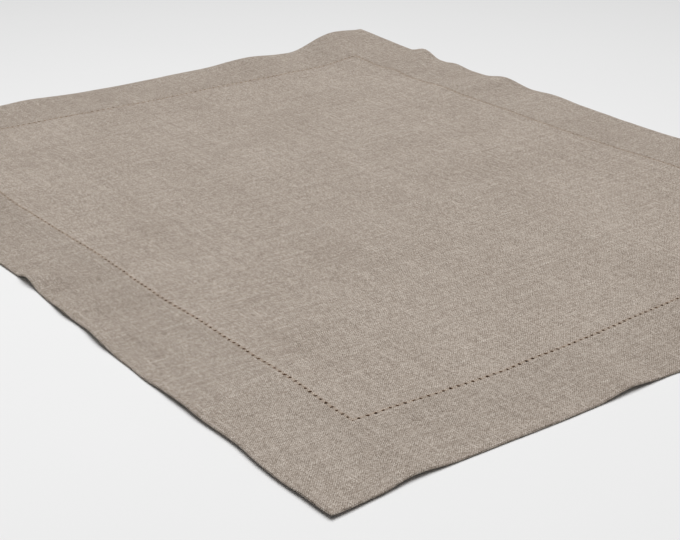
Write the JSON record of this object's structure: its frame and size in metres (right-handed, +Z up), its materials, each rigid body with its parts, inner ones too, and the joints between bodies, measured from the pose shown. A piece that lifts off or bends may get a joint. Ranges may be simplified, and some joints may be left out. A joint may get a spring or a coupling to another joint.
{
  "type": "fabric placemat",
  "caption": "Flat rectangular placemat of plain-weave linen with a wide mitred hem, a row of ladder hemstitch along the hem, and low ripples at its edges.",
  "frame": {"origin": "middle of the flat underside, on the surface the mat lies on", "axes": "+X along the long side, +Y along the short side, +Z up through the cloth"},
  "size_m": [0.4546, 0.3653, 0.0091],
  "materials": {
    "linen": "undyed plain-weave linen, matt, with slubs"
  },
  "bodies": {
    "root": {"placemat": "linen"}
  },
  "joints": []
}
